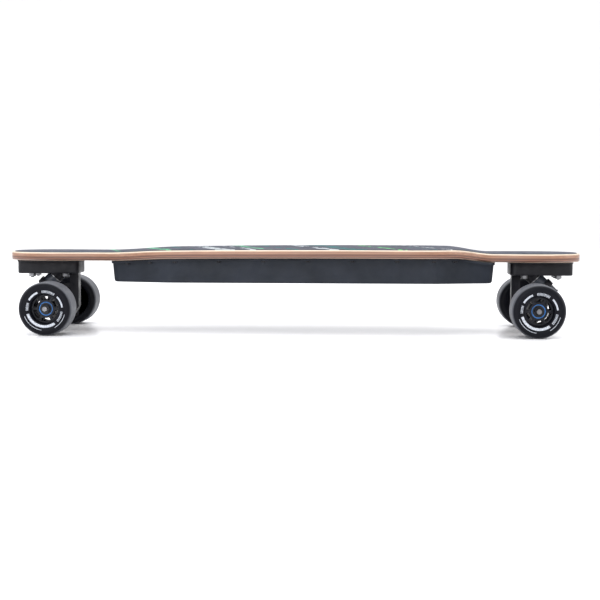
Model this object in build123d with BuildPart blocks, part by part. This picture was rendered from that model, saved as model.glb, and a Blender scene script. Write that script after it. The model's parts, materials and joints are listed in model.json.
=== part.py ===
"""Electric longboard: laminated deck, two reverse-kingpin trucks, three free wheels and a hub motor.

Millimetres. +X is the riding direction, +Y the rider's left, +Z up, and the origin lies on the ground
under the middle of the deck. A truck's pieces are drawn once in a truck frame, whose +X points outboard
along the board and whose X = 0 is the axle. They are then set down at the front and, turned half round,
at the rear.
"""

import os
from math import cos, radians, sin, sqrt

from build123d import *

os.makedirs("parts", exist_ok=True)

# ---------------------------------------------------------------- driving dimensions

# Deck
deck_length = 915.0
ply_count = 9
ply_thickness = 1.45
deck_thickness = ply_count * ply_thickness
grip_thickness = 1.0
grip_inset = 4.0
platform_rise = 7.2        # how much higher the platform stands than the two ends
rear_shoulder_rise = 4.8   # the part of that rise reached at the rear shoulder
rear_shoulder_slope = 0.016

# Wheels and axles
wheel_radius = 41.5
wheel_width = 52.0
wheelbase = 761.0
core_radius = 24.0
core_width = 30.0
slot_count = 6
slot_rib = 4.4             # the spoke left between two slots
slot_inner_radius = 14.4
slot_outer_radius = 19.4
lip_radius = 8.0
side_dish = 2.0            # how far the tyre's side falls in towards the core
bearing_bore_radius = 4.0
bearing_outer_radius = 11.0
bearing_width = 7.0
bearing_spacer_length = 10.0
ball_radius = 1.9
shield_thickness = 0.5
ball_count = 7
axle_nut_across_flats = 12.7
axle_nut_height = 7.0
axle_tail = 4.0            # thread left standing past the nut
speed_ring_thickness = 1.0
speed_ring_radius = 6.0

# Trucks
steer_axis_angle = 45.0    # degrees above the ground, rising outboard
hanger_rake = 5.0          # the axle lies this far on the road side of the steering axis
ring_reach = 38.0          # from the axle to the kingpin, along the steering axis
nose_reach = 17.0          # from the axle to the pivot ball, the other way
pivot_ball_radius = 5.0
hanger_half_width = 90.0
hanger_bar_radius = 11.0
hanger_end_radius = 9.0
yoke_thickness = 9.0
ring_thickness = 10.0
ring_radius = 14.5
ring_hole_radius = 8.2
bushing_seat_depth = 1.5
bushing_radius = 11.5
boardside_bushing_height = 15.5
roadside_bushing_height = 14.0
bushing_washer_thickness = 1.5
bushing_washer_radius = 12.6
kingpin_radius = 4.76
kingpin_head_across_flats = 14.0
kingpin_head_height = 6.0
kingpin_nut_height = 8.0
boss_radius = 13.0
boss_length = 19.0         # from the washer's seat to the kingpin head's seat
truck_height = 72.1        # axle centre to deck
riser_thickness = 3.0
plate_length = 99.0
plate_width = 60.0
plate_thickness = 19.0
plate_offset = 15.5        # the plate's centre lies this far outboard of the axle
bolt_spacing_x = 53.98
bolt_spacing_y = 41.28
bolt_radius = 2.4
bolt_head_radius = 4.8
bolt_nut_across_flats = 9.5
bolt_nut_height = 5.0
pivot_cup_radius = 7.6
cup_block_radius = 10.6
horn_half_width = 9.0
horn_face_gap = 16.2       # the horn's outboard face lies this far inboard of the axle
horn_depth = 14.0

# Enclosure under the deck
enclosure_front = 320.0
enclosure_rear = -290.0
enclosure_front_shoulder = 228.0
enclosure_rear_shoulder = -195.0
enclosure_half_width = 78.0
enclosure_end_half_width = 54.0
enclosure_depth = 41.0     # below the platform
enclosure_wall = 3.0
flange_width = 8.0         # along the two sides
flange_thickness = 3.0
gasket_thickness = 1.5
tub_end_slope = 4.0        # how far each end leans in over the depth
screw_radius = 1.5
screw_head_radius = 3.0
screw_head_height = 2.4
screw_length = 9.0

# Battery and electronics
cell_radius = 9.2
cell_length = 65.2
cells_across = 5
cells_along = 4
cell_pitch = 19.6
cell_row_gap = 3.2
battery_centre_x = -20.0
foam_thickness = 3.0
holder_thickness = 3.0
holder_floor = 1.8         # plastic left under a cell
holder_height = 22.0
strip_thickness = 0.3
strip_height = 8.0
board_thickness = 1.6
battery_board_length = 64.0
battery_board_width = 74.0
battery_board_x = 182.0
controller_length = 76.0
controller_width = 56.0
controller_x = -212.0
receiver_x = 240.0
receiver_length = 24.0
receiver_width = 30.0
heatsink_thickness = 4.0
transistor_length = 9.0
transistor_width = 10.0
transistor_height = 4.4
capacitor_radius = 5.0
capacitor_length = 20.0

# Power button and charging port, in the enclosure's left wall
fitting_z = 100.0          # height of the button's, the port's and the gland's centres
button_x = 205.0
button_radius = 6.0
button_travel = 1.2
button_stand = 1.6
bezel_radius = 9.0
bezel_thickness = 1.6
bezel_wall = 1.0
bezel_reach = 9.0          # from the wall's outer face inwards
switch_length = 4.0
charge_x = 130.0
charge_bore_radius = 4.2
charge_bore_depth = 10.0
charge_body_radius = 7.0
charge_body_length = 16.0
charge_flange_radius = 8.5
charge_flange_thickness = 1.2
charge_pin_radius = 1.0
charge_pin_length = 4.0
cap_radius = 10.0
cap_thickness = 2.6
cap_gap = 0.4              # from the port's flange to the closed cap
cap_hinge_rise = 11.5
cap_barrel_radius = 1.5
cap_tab_width = 7.4
cap_pin_radius = 0.75
hinge_ear_width = 2.0
gland_x = -165.0
gland_radius = 6.5
gland_bore_radius = 1.9
gland_length = 9.0

# Hub motor
motor_shell_radius = 33.0
motor_shell_wall = 3.2
magnet_count = 14
magnet_thickness = 2.0
magnet_spacing = 1.9       # between two magnets
air_gap = 0.6
tooth_count = 12
tooth_width = 4.6
tooth_shoe = 1.5
tooth_opening = 2.4
stator_length = 24.0
stator_back_radius = 14.0
coil_thickness = 1.5
coil_overhang = 2.6
motor_shaft_radius = 7.5
motor_shaft_shoulder = 9.0
motor_bearing_radius = 12.0
motor_bearing_width = 5.0
motor_cover_thickness = 4.0
motor_cover_boss_radius = 14.5
motor_face_inset = 2.0     # each cover's face lies this far inside the tyre's side
motor_nut_recess = 7.0     # the outer bearing lies this far inside the outer cover's face
motor_hanger_half_width = 75.0
cover_screw_count = 6
cover_screw_circle = 30.6
cover_screw_radius = 1.2
cover_screw_head_radius = 2.2
cover_screw_head_height = 2.0
cover_screw_length = 4.0

# Clearances
press_gap = 0.02           # pieces of one body that are pressed or bonded together
bearing_gap = 0.05         # a bearing's balls in their races
running_gap = 0.3          # pieces that turn or slide past each other
hole_gap = 0.3             # a fastener in its hole, on the radius
head_gap = 0.2             # under a screw head, where the flange follows the deck's slope

# ---------------------------------------------------------------- places worked out from them

axle_x = wheelbase / 2
axle_z = wheel_radius
deck_end_z = axle_z + truck_height
deck_bottom_z = deck_end_z + platform_rise
half_length = deck_length / 2
plate_top = deck_end_z - riser_thickness
plate_bottom = plate_top - plate_thickness

bearing_inner_y = hanger_half_width + speed_ring_thickness
bearing_outer_y = bearing_inner_y + bearing_width + bearing_spacer_length
bearings_end_y = bearing_outer_y + bearing_width
wheel_centre_y = (bearing_inner_y + bearings_end_y) / 2
wheel_outer_y = wheel_centre_y + wheel_width / 2
wheel_inner_y = wheel_centre_y - wheel_width / 2
nut_y = bearings_end_y + speed_ring_thickness
axle_end_y = nut_y + axle_nut_height + axle_tail

tub_half_width = enclosure_half_width - flange_width
tub_bottom_z = deck_bottom_z - enclosure_depth
tub_floor_z = tub_bottom_z + enclosure_wall

# (x, rise above the ends, slope) where the deck's bottom line changes: a cubic runs between each pair
deck_knots = [
    (-half_length, 0, 0),
    (-302, 0, 0),
    (-195, rear_shoulder_rise, rear_shoulder_slope),
    (110, platform_rise, 0),
    (250, platform_rise, 0),
    (318, 0, 0),
    (half_length, 0, 0),
]

# (x, half width) of the deck's outline, from the nose's blunt tip to the tail's
deck_outline = [
    (half_length, 14),
    (half_length - 5, 30),
    (half_length - 15, 43),
    (half_length - 32, 53),
    (375, 60),
    (330, 56),
    (298, 59),
    (272, 80),
    (238, 102),
    (150, 108),
    (20, 106),
    (-100, 98),
    (-190, 90),
    (-245, 80),
    (-295, 60),
    (-335, 56),
    (-375, 60),
    (32 - half_length, 53),
    (15 - half_length, 43),
    (5 - half_length, 30),
    (-half_length, 14),
]


def deck_rise(x):
    """How far the deck's bottom stands above its ends at x: cubics between the knots."""
    for (x0, z0, m0), (x1, z1, m1) in zip(deck_knots, deck_knots[1:]):
        if x <= x1:
            w = x1 - x0
            t = (x - x0) / w
            start = (1 + 2 * t) * (1 - t) ** 2 * z0 + t * (1 - t) ** 2 * w * m0
            return start + t * t * (3 - 2 * t) * z1 + t * t * (t - 1) * w * m1
    return 0.0


def deck_bottom(x):
    """Height of the deck's bottom at x."""
    return deck_end_z + deck_rise(x)


def save(builder, name):
    """Labels a finished piece and writes it as parts/name.step."""
    piece = builder.part if isinstance(builder, BuildPart) else builder
    piece.label = name
    export_step(piece, f"parts/{name}.step")


# ---------------------------------------------------------------- helpers for the deck's shape

def deck_band(low, high):
    """A slab across the board between two offsets from the deck's bottom line, wider than the board."""
    with BuildPart() as band:
        with BuildSketch(Plane.XZ):
            with BuildLine():
                for offset in (low, high):
                    for (x0, z0, m0), (x1, z1, m1) in zip(deck_knots, deck_knots[1:]):
                        third = (x1 - x0) / 3
                        start = deck_end_z + offset + z0
                        end = deck_end_z + offset + z1
                        if m0 == m1 == 0 and z0 == z1:
                            Line((x0, start), (x1, end))
                        else:
                            leaving = (x0 + third, start + third * m0)
                            arriving = (x1 - third, end - third * m1)
                            Bezier((x0, start), leaving, arriving, (x1, end))
                for tip in (-half_length, half_length):
                    Line((tip, deck_end_z + low), (tip, deck_end_z + high))
            make_face()
        extrude(amount=2 * wheel_outer_y, both=True)
    return band.part


def deck_plan(inset=0.0):
    """The deck's outline as a face on Plane.XY, drawn in by inset all round."""
    shrink = 1 - inset / half_length
    outline = [(x * shrink, y - inset) for x, y in deck_outline]
    with BuildSketch() as plan:
        with BuildLine():
            for side in (1, -1):
                Spline(*[(x, side * y) for x, y in outline], tangents=[(0, side), (0, -side)],
                       tangent_scalars=[0.3, 0.3])
            for x, y in (outline[0], outline[-1]):
                Line((x, -y), (x, y))
        make_face()
    return plan.sketch


def enclosure_plan(end_inset, side_inset, corner):
    """The enclosure's outline with its ends and sides drawn in, and rounded corners."""
    corners = [
        (enclosure_front - end_inset, enclosure_end_half_width - side_inset),
        (enclosure_front_shoulder, enclosure_half_width - side_inset),
        (enclosure_rear_shoulder, enclosure_half_width - side_inset),
        (enclosure_rear + end_inset, enclosure_end_half_width - side_inset),
    ]
    with BuildSketch() as plan:
        Polygon(*corners, *[(x, -y) for x, y in reversed(corners)], align=None)
        fillet(plan.vertices(), corner)
    return plan.sketch


# ---------------------------------------------------------------- deck and grip tape

front_truck = Location((axle_x, 0, 0))
rear_truck = Location((-axle_x, 0, 0), (0, 0, 180))
bolt_points = [
    (plate_offset + sx * bolt_spacing_x / 2, sy * bolt_spacing_y / 2)
    for sx in (-1, 1)
    for sy in (-1, 1)
]
deck_bolt_points = [
    ((truck * Location((x, y, 0))).position.X, (truck * Location((x, y, 0))).position.Y)
    for truck in (front_truck, rear_truck)
    for x, y in bolt_points
]
deck_top_at_trucks = deck_end_z + deck_thickness
countersink = bolt_head_radius - bolt_radius


def enclosure_side(x):
    """The enclosure's half width at x: level between its shoulders, tapering to the ends."""
    front_share = (x - enclosure_front_shoulder) / (enclosure_front - enclosure_front_shoulder)
    rear_share = (enclosure_rear_shoulder - x) / (enclosure_rear_shoulder - enclosure_rear)
    taper = enclosure_half_width - enclosure_end_half_width
    return enclosure_half_width - taper * max(front_share, rear_share, 0)


screw_xs = [-262, -225, -185, -115, -45, 25, 95, 165, 222, 256]
screw_points = [(x, side * (enclosure_side(x) - flange_width / 2)) for x in screw_xs for side in (-1, 1)]

deck_sheet = deck_band(0, deck_thickness)
deck_outline_face = deck_plan()
with BuildPart() as deck:
    with BuildSketch():
        add(deck_outline_face)
    extrude(amount=2 * deck_end_z)
    add(deck_sheet, mode=Mode.INTERSECT)
    with BuildSketch():
        with Locations(deck_bolt_points):
            Circle(bolt_radius + hole_gap)
    extrude(amount=2 * deck_end_z, mode=Mode.SUBTRACT)
    for x, y in deck_bolt_points:
        with Locations((x, y, deck_top_at_trucks - countersink / 2)):
            Cone(bolt_radius + hole_gap, bolt_head_radius + hole_gap, countersink, mode=Mode.SUBTRACT)
    for x, y in screw_points:
        with BuildSketch(Plane.XY.offset(deck_bottom(x) - 1)):
            with Locations((x, y)):
                Circle(screw_radius + press_gap)
        extrude(amount=screw_length - flange_thickness - gasket_thickness + 2, mode=Mode.SUBTRACT)
save(deck, "deck")

grip_sheet = deck_band(deck_thickness, deck_thickness + grip_thickness)
grip_outline_face = deck_plan(grip_inset)
with BuildPart() as grip_tape:
    with BuildSketch():
        add(grip_outline_face)
    extrude(amount=2 * deck_end_z)
    add(grip_sheet, mode=Mode.INTERSECT)
    with BuildSketch():
        with Locations(deck_bolt_points):
            Circle(bolt_head_radius + 2 * hole_gap)
    extrude(amount=2 * deck_end_z, mode=Mode.SUBTRACT)
save(grip_tape, "grip_tape")

# ---------------------------------------------------------------- trucks

tilt = radians(steer_axis_angle)
along_steer = Vector(cos(tilt), 0, sin(tilt))
along_kingpin = Vector(sin(tilt), 0, -cos(tilt))
axle_centre = Vector(0, 0, axle_z)
pivot_foot = axle_centre - along_kingpin * hanger_rake
ring_centre = pivot_foot + along_steer * ring_reach

bushing_seat = ring_thickness / 2 - bushing_seat_depth
boss_seat = bushing_seat + boardside_bushing_height + bushing_washer_thickness
head_seat = boss_seat + boss_length
nut_seat = bushing_seat + roadside_bushing_height + bushing_washer_thickness
hex_factor = 2 / sqrt(3)


def kingpin_plane(distance):
    """Square to the kingpin, this far on the road side of the hanger's ring (the board side if negative)."""
    return Plane(origin=ring_centre + along_kingpin * distance, x_dir=along_steer, z_dir=along_kingpin)


def steer_plane(distance):
    """Square to the steering axis, this far outboard of the axle along it (inboard if negative)."""
    return Plane(origin=pivot_foot + along_steer * distance, x_dir=(0, 1, 0), z_dir=along_steer)


def across_plane(y):
    """Square to the axle at y, centred on it."""
    return Plane(origin=(0, y, axle_z), x_dir=(1, 0, 0), z_dir=(0, 1, 0))


turning_plane = Plane(origin=(0, 0, axle_z), x_dir=(0, 1, 0), z_dir=(1, 0, 0))
axle_line = Axis((0, 0, axle_z), (0, 1, 0))

cup_mouth = -(nose_reach - 2.5)
cup_bottom = -(nose_reach + 8)

with BuildPart() as baseplate:
    with BuildSketch(Plane.XY.offset(plate_bottom)):
        with Locations((plate_offset, 0)):
            RectangleRounded(plate_length, plate_width, 8)
    extrude(amount=plate_thickness)
    fillet(baseplate.faces().sort_by(Axis.Z)[0].edges(), 2)
    with BuildSketch(kingpin_plane(-boss_seat)):
        Circle(boss_radius)
    extrude(amount=-2 * boss_length)
    with BuildSketch(kingpin_plane(-boss_seat)):
        Circle(bushing_washer_radius + running_gap)
    extrude(amount=boss_seat, mode=Mode.SUBTRACT)
    with BuildSketch(Plane.XZ):
        inner = -horn_face_gap - horn_depth
        Polygon(
            (inner, plate_top),
            (inner, axle_z - 4),
            (inner + horn_depth / 2, axle_z - 16),
            (-horn_face_gap, axle_z - 14),
            (-horn_face_gap, plate_top),
            align=None,
        )
    extrude(amount=horn_half_width, both=True)
    with BuildSketch(steer_plane(cup_bottom)):
        Circle(cup_block_radius)
    extrude(amount=cup_mouth - cup_bottom)
    with BuildSketch(steer_plane(cup_bottom + 1.5)):
        Circle(pivot_cup_radius + press_gap)
    extrude(amount=nose_reach, mode=Mode.SUBTRACT)
    with BuildSketch(kingpin_plane(-boss_seat)):
        Circle(kingpin_radius + press_gap)
    extrude(amount=-2 * boss_length, mode=Mode.SUBTRACT)
    with BuildSketch(kingpin_plane(-head_seat)):
        RegularPolygon(hex_factor * kingpin_head_across_flats / 2 + hole_gap, 6)
    extrude(amount=-2 * boss_length, mode=Mode.SUBTRACT)
    with BuildSketch(Plane.XY.offset(plate_bottom - 1)):
        with Locations(bolt_points):
            Circle(bolt_radius + hole_gap)
    extrude(amount=plate_thickness + 2, mode=Mode.SUBTRACT)
    split(bisect_by=Plane.XY.offset(plate_top), keep=Keep.BOTTOM)

with BuildPart() as riser_pad:
    with BuildSketch(Plane.XY.offset(plate_top)):
        with Locations((plate_offset, 0)):
            RectangleRounded(plate_length + 2, plate_width + 2, 9)
        with Locations(bolt_points):
            Circle(bolt_radius + hole_gap, mode=Mode.SUBTRACT)
    extrude(amount=riser_thickness)

with BuildPart() as pivot_cup:
    with BuildSketch(steer_plane(cup_bottom + 1.5)):
        Circle(pivot_cup_radius)
    extrude(amount=cup_mouth - cup_bottom - 1.5)
    with Locations(pivot_foot - along_steer * nose_reach):
        Sphere(pivot_ball_radius + running_gap, mode=Mode.SUBTRACT)
    with BuildSketch(steer_plane(-nose_reach)):
        Circle(pivot_ball_radius + running_gap)
    with BuildSketch(steer_plane(cup_mouth + 1)):
        Circle(pivot_ball_radius + 1.6)
    loft(mode=Mode.SUBTRACT)

with BuildPart() as kingpin:
    with BuildSketch(kingpin_plane(-head_seat)):
        Circle(kingpin_radius)
    extrude(amount=head_seat + nut_seat + kingpin_nut_height + 2)
    with BuildSketch(kingpin_plane(-head_seat)):
        RegularPolygon(hex_factor * kingpin_head_across_flats / 2, 6)
    extrude(amount=-kingpin_head_height)

with BuildPart() as kingpin_nut:
    with BuildSketch(kingpin_plane(nut_seat)):
        RegularPolygon(hex_factor * kingpin_head_across_flats / 2, 6)
        Circle(kingpin_radius + press_gap, mode=Mode.SUBTRACT)
    extrude(amount=kingpin_nut_height)

with BuildPart() as bushing_washers:
    for seat, thickness in ((-boss_seat, bushing_washer_thickness), (nut_seat, -bushing_washer_thickness)):
        with BuildSketch(kingpin_plane(seat)):
            Circle(bushing_washer_radius)
            Circle(kingpin_radius + press_gap, mode=Mode.SUBTRACT)
        extrude(amount=thickness)

with BuildPart() as bushings:
    for seat, height in ((-bushing_seat, -boardside_bushing_height), (bushing_seat, roadside_bushing_height)):
        with BuildSketch(kingpin_plane(seat)):
            Circle(bushing_radius)
            Circle(kingpin_radius + press_gap, mode=Mode.SUBTRACT)
        extrude(amount=height)
    round_edges = bushings.edges().filter_by(GeomType.CIRCLE)
    fillet(round_edges.filter_by(lambda edge: edge.radius > bushing_radius - 1), 1.2)


def make_hanger(left_half_width):
    """The cast hanger, whose bar reaches left_half_width towards -Y and hanger_half_width towards +Y."""
    with BuildPart() as hanger:
        with BuildSketch(turning_plane):
            Polygon(
                (-left_half_width, 0),
                (-left_half_width, hanger_end_radius),
                (8 - left_half_width, hanger_end_radius),
                (-hanger_half_width / 2, hanger_bar_radius),
                (hanger_half_width / 2, hanger_bar_radius),
                (hanger_half_width - 8, hanger_end_radius),
                (hanger_half_width, hanger_end_radius),
                (hanger_half_width, 0),
                align=None,
            )
        revolve(axis=axle_line)
        with BuildSketch(kingpin_plane(0)):
            with BuildSketch(mode=Mode.PRIVATE) as corners:
                Circle(ring_radius)
                with Locations((-ring_reach, 0)):
                    Rectangle(2 * hanger_rake, 0.75 * hanger_half_width)
            add(make_hull(corners.edges(), mode=Mode.PRIVATE))
        extrude(amount=yoke_thickness / 2, both=True)
        with BuildSketch(kingpin_plane(0)):
            Circle(ring_radius)
        extrude(amount=ring_thickness / 2, both=True)
        with BuildSketch(steer_plane(-hanger_rake)):
            Circle(pivot_ball_radius + 2)
        with BuildSketch(steer_plane(-nose_reach)):
            Circle(pivot_ball_radius - 0.8)
        loft()
        with Locations(pivot_foot - along_steer * nose_reach):
            Sphere(pivot_ball_radius)
        with BuildSketch(kingpin_plane(-ring_thickness)):
            Circle(ring_hole_radius)
        extrude(amount=2 * ring_thickness, mode=Mode.SUBTRACT)
        for side in (-1, 1):
            with BuildSketch(kingpin_plane(side * bushing_seat)):
                Circle(bushing_radius + press_gap)
            extrude(amount=side * bushing_seat_depth * 2, mode=Mode.SUBTRACT)
        with BuildSketch(across_plane(-hanger_half_width)):
            Circle(bearing_bore_radius + press_gap)
        extrude(amount=2 * hanger_half_width, mode=Mode.SUBTRACT)
    return hanger


front_hanger = make_hanger(hanger_half_width)
rear_hanger = make_hanger(motor_hanger_half_width)

motor_inner_face = wheel_inner_y + motor_face_inset
motor_outer_face = wheel_outer_y - motor_face_inset
motor_outer_bearing_y = motor_outer_face - motor_nut_recess - motor_bearing_width
motor_nut_y = motor_outer_bearing_y + motor_bearing_width
motor_axle_end_y = motor_nut_y + axle_nut_height + 1


def make_axle(left_end):
    """The steel axle, from -left_end to the free wheel's end."""
    with BuildPart() as axle:
        with BuildSketch(across_plane(-left_end)):
            Circle(bearing_bore_radius)
        extrude(amount=left_end + axle_end_y)
        chamfer(axle.edges().filter_by(GeomType.CIRCLE), 0.6)
    return axle


def make_axle_nuts(left_nut_y):
    """Two lock nuts, their inner faces at -left_nut_y and nut_y."""
    with BuildPart() as nuts:
        for y, height in ((-left_nut_y, -axle_nut_height), (nut_y, axle_nut_height)):
            with BuildSketch(across_plane(y)):
                RegularPolygon(hex_factor * axle_nut_across_flats / 2, 6)
                Circle(bearing_bore_radius + press_gap, mode=Mode.SUBTRACT)
            extrude(amount=height)
    return nuts


def make_axle_sleeves(sides):
    """What stays with the hanger inside each free wheel: bearing inner rings, the spacer and two speed rings."""
    stack = [
        (hanger_half_width, speed_ring_thickness, speed_ring_radius),
        (bearing_inner_y, bearing_width, race_inner_radius),
        (bearing_inner_y + bearing_width, bearing_spacer_length, race_inner_radius - 0.4),
        (bearing_outer_y, bearing_width, race_inner_radius),
        (bearings_end_y, speed_ring_thickness, speed_ring_radius),
    ]
    with BuildPart() as sleeves:
        for side in sides:
            for y, length, radius in stack:
                with BuildSketch(across_plane(side * y)):
                    Circle(radius)
                    Circle(bearing_bore_radius + press_gap, mode=Mode.SUBTRACT)
                extrude(amount=side * length)
    return sleeves


ball_pitch_radius = (bearing_bore_radius + bearing_outer_radius) / 2 + 0.25
race_inner_radius = ball_pitch_radius - ball_radius - bearing_gap
race_outer_radius = ball_pitch_radius + ball_radius + bearing_gap

pair = [front_truck, rear_truck]
save(front_truck * baseplate.part, "front_baseplate")
save(rear_truck * baseplate.part, "rear_baseplate")
save(front_truck * bushings.part, "front_bushings")
save(rear_truck * bushings.part, "rear_bushings")
save(front_truck * front_hanger.part, "front_hanger")
save(rear_truck * rear_hanger.part, "rear_hanger")
save(front_truck * make_axle(axle_end_y).part, "front_axle")
save(rear_truck * make_axle(motor_axle_end_y).part, "rear_axle")
save(front_truck * make_axle_nuts(nut_y).part, "front_axle_nuts")
save(rear_truck * make_axle_nuts(motor_nut_y).part, "rear_axle_nuts")
save(front_truck * make_axle_sleeves([-1, 1]).part, "front_axle_sleeves")
save(rear_truck * make_axle_sleeves([1]).part, "rear_axle_sleeves")
for name, piece in (
    ("riser_pads", riser_pad),
    ("pivot_cups", pivot_cup),
    ("kingpins", kingpin),
    ("kingpin_nuts", kingpin_nut),
    ("bushing_washers", bushing_washers),
):
    save(Compound(children=[solid for truck in pair for solid in (truck * piece.part).solids()]), name)

bolt_end_z = plate_bottom - bolt_nut_height - 1.5
with BuildPart() as truck_bolts:
    with BuildSketch(Plane.XY.offset(bolt_end_z)):
        with Locations(deck_bolt_points):
            Circle(bolt_radius)
    extrude(amount=deck_top_at_trucks - bolt_end_z)
    with Locations([(x, y, deck_top_at_trucks - countersink / 2) for x, y in deck_bolt_points]):
        Cone(bolt_radius, bolt_head_radius, countersink)
    with BuildSketch(Plane.XY.offset(deck_top_at_trucks)):
        with Locations(deck_bolt_points):
            RegularPolygon(hex_factor * bolt_radius * 0.6, 6)
    extrude(amount=-countersink * 0.8, mode=Mode.SUBTRACT)
save(truck_bolts, "truck_bolts")

with BuildPart() as truck_nuts:
    with BuildSketch(Plane.XY.offset(plate_bottom)):
        with Locations(deck_bolt_points):
            RegularPolygon(hex_factor * bolt_nut_across_flats / 2, 6)
        with Locations(deck_bolt_points):
            Circle(bolt_radius + press_gap, mode=Mode.SUBTRACT)
    extrude(amount=-bolt_nut_height)
save(truck_nuts, "truck_nuts")

# ---------------------------------------------------------------- wheels

rim_y = wheel_width / 2
core_y = core_width / 2


def tyre_profile(bore_radius, bore_half_width, mouth_radius):
    """Half section of a tyre in the turning plane: bore, dished sides, rounded lips and flat tread."""
    middle = wheel_centre_y
    corner = wheel_radius - lip_radius
    left = [
        (middle - bore_half_width, bore_radius),
        (middle - bore_half_width, mouth_radius),
        (middle - rim_y + side_dish, mouth_radius + 1.5),
        (middle - rim_y, corner - 1.5),
        (middle - rim_y, corner),
    ]
    right = [(2 * middle - y, r) for y, r in reversed(left)]
    with BuildSketch(turning_plane) as profile:
        with BuildLine():
            Polyline(*left)
            JernArc(left[-1], (0, 1), lip_radius, -90)
            Line((middle - rim_y + lip_radius, wheel_radius), (middle + rim_y - lip_radius, wheel_radius))
            JernArc((middle + rim_y - lip_radius, wheel_radius), (1, 0), lip_radius, -90)
            Polyline(*right)
            Line(right[-1], left[0])
        make_face()
    return profile.sketch


free_profile = tyre_profile(core_radius, core_y, core_radius - 2)
with BuildPart() as tyre:
    add(free_profile)
    revolve(axis=axle_line)

with BuildPart() as core:
    with BuildSketch(turning_plane):
        Polygon(
            (bearing_inner_y + bearing_width, race_outer_radius - 0.4),
            (bearing_outer_y, race_outer_radius - 0.4),
            (bearing_outer_y, bearing_outer_radius + press_gap),
            (wheel_centre_y + core_y, bearing_outer_radius + press_gap),
            (wheel_centre_y + core_y, core_radius - press_gap),
            (wheel_centre_y - core_y, core_radius - press_gap),
            (wheel_centre_y - core_y, bearing_outer_radius + press_gap),
            (bearing_inner_y + bearing_width, bearing_outer_radius + press_gap),
            align=None,
        )
    revolve(axis=axle_line)
    with BuildSketch(across_plane(wheel_centre_y - rim_y)):
        Circle(slot_outer_radius)
        Circle(slot_inner_radius, mode=Mode.SUBTRACT)
        with PolarLocations((slot_inner_radius + slot_outer_radius) / 2, slot_count):
            Rectangle(2 * (slot_outer_radius - slot_inner_radius), slot_rib, mode=Mode.SUBTRACT)
    extrude(amount=wheel_width, mode=Mode.SUBTRACT)


def make_bearings(inner_faces, width, inner, pitch, outer, ball):
    """Outer rings, shields and balls of two bearings: everything that turns with the wheel."""
    race = pitch + ball + bearing_gap
    with BuildPart() as bearings:
        for y in inner_faces:
            with BuildSketch(across_plane(y)):
                Circle(outer)
                Circle(race, mode=Mode.SUBTRACT)
            extrude(amount=width)
            for face in (y, y + width - shield_thickness):
                with BuildSketch(across_plane(face)):
                    Circle(race + press_gap)
                    Circle(inner + running_gap, mode=Mode.SUBTRACT)
                extrude(amount=shield_thickness)
            with Locations(Location(across_plane(y + width / 2))):
                with PolarLocations(pitch, ball_count):
                    Sphere(ball)
    return bearings


bearings = make_bearings([bearing_inner_y, bearing_outer_y], bearing_width, race_inner_radius, ball_pitch_radius,
                         bearing_outer_radius, ball_radius)
free_wheels = {
    "front_left": Location((axle_x, 0, 0)),
    "front_right": Location((axle_x, 0, 0), (0, 0, 180)),
    "rear_right": Location((-axle_x, 0, 0), (0, 0, 180)),
}
for corner_name, place in free_wheels.items():
    save(place * tyre.part, f"{corner_name}_tyre")
    save(place * core.part, f"{corner_name}_core")
    save(place * bearings.part, f"{corner_name}_bearings")

# ---------------------------------------------------------------- hub motor, in the rear left wheel

motor_place = Location((-axle_x, 0, 0))
motor_inner_bearing_y = motor_inner_face
stator_start_shoulder = motor_inner_bearing_y + motor_bearing_width
stator_middle = (stator_start_shoulder + motor_outer_bearing_y) / 2
magnet_outer_radius = motor_shell_radius - motor_shell_wall - press_gap
magnet_inner_radius = magnet_outer_radius - magnet_thickness
stator_radius = magnet_inner_radius - air_gap
shell_start = motor_inner_face + motor_cover_thickness
shell_end = motor_outer_face - motor_cover_thickness
shell_rim_radius = cover_screw_circle - cover_screw_head_radius - 0.4

with BuildPart() as motor_shaft:
    with BuildSketch(turning_plane):
        Polygon(
            (motor_hanger_half_width, bearing_bore_radius + press_gap),
            (motor_hanger_half_width, motor_shaft_radius),
            (stator_start_shoulder + 0.3, motor_shaft_radius),
            (stator_start_shoulder + 0.3, motor_shaft_shoulder),
            (motor_outer_bearing_y - 0.3, motor_shaft_shoulder),
            (motor_outer_bearing_y - 0.3, motor_shaft_radius),
            (motor_nut_y, motor_shaft_radius),
            (motor_nut_y, bearing_bore_radius + press_gap),
            align=None,
        )
    revolve(axis=axle_line)
save(motor_place * motor_shaft.part, "motor_shaft")

with BuildPart() as motor_stator:
    with BuildSketch(across_plane(stator_middle)):
        Circle(stator_radius)
        Circle(stator_radius - tooth_shoe, mode=Mode.SUBTRACT)
        Circle(stator_back_radius)
        with PolarLocations((stator_back_radius + stator_radius) / 2 - 0.5, tooth_count):
            Rectangle(stator_radius - stator_back_radius, tooth_width)
        with PolarLocations(stator_radius, tooth_count, start_angle=180 / tooth_count):
            Rectangle(3 * tooth_shoe, tooth_opening, mode=Mode.SUBTRACT)
        Circle(motor_shaft_shoulder + press_gap, mode=Mode.SUBTRACT)
    extrude(amount=stator_length / 2, both=True)
save(motor_place * motor_stator.part, "motor_stator")

coil_inner_radius = stator_back_radius + coil_thickness
coil_outer_radius = stator_radius - tooth_shoe - 0.5
coil_width = tooth_width + 2 * coil_thickness
with BuildPart() as motor_windings:
    with BuildSketch(across_plane(stator_middle)):
        with PolarLocations((coil_inner_radius + coil_outer_radius) / 2, tooth_count):
            Rectangle(coil_outer_radius - coil_inner_radius, coil_width)
    extrude(amount=stator_length / 2 + coil_overhang, both=True)
    with BuildSketch(across_plane(stator_middle)):
        with PolarLocations((coil_inner_radius + coil_outer_radius) / 2, tooth_count):
            Rectangle(2 * coil_outer_radius, tooth_width + 2 * press_gap)
    extrude(amount=stator_length / 2 + press_gap, both=True, mode=Mode.SUBTRACT)
save(motor_place * motor_windings.part, "motor_windings")

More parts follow.
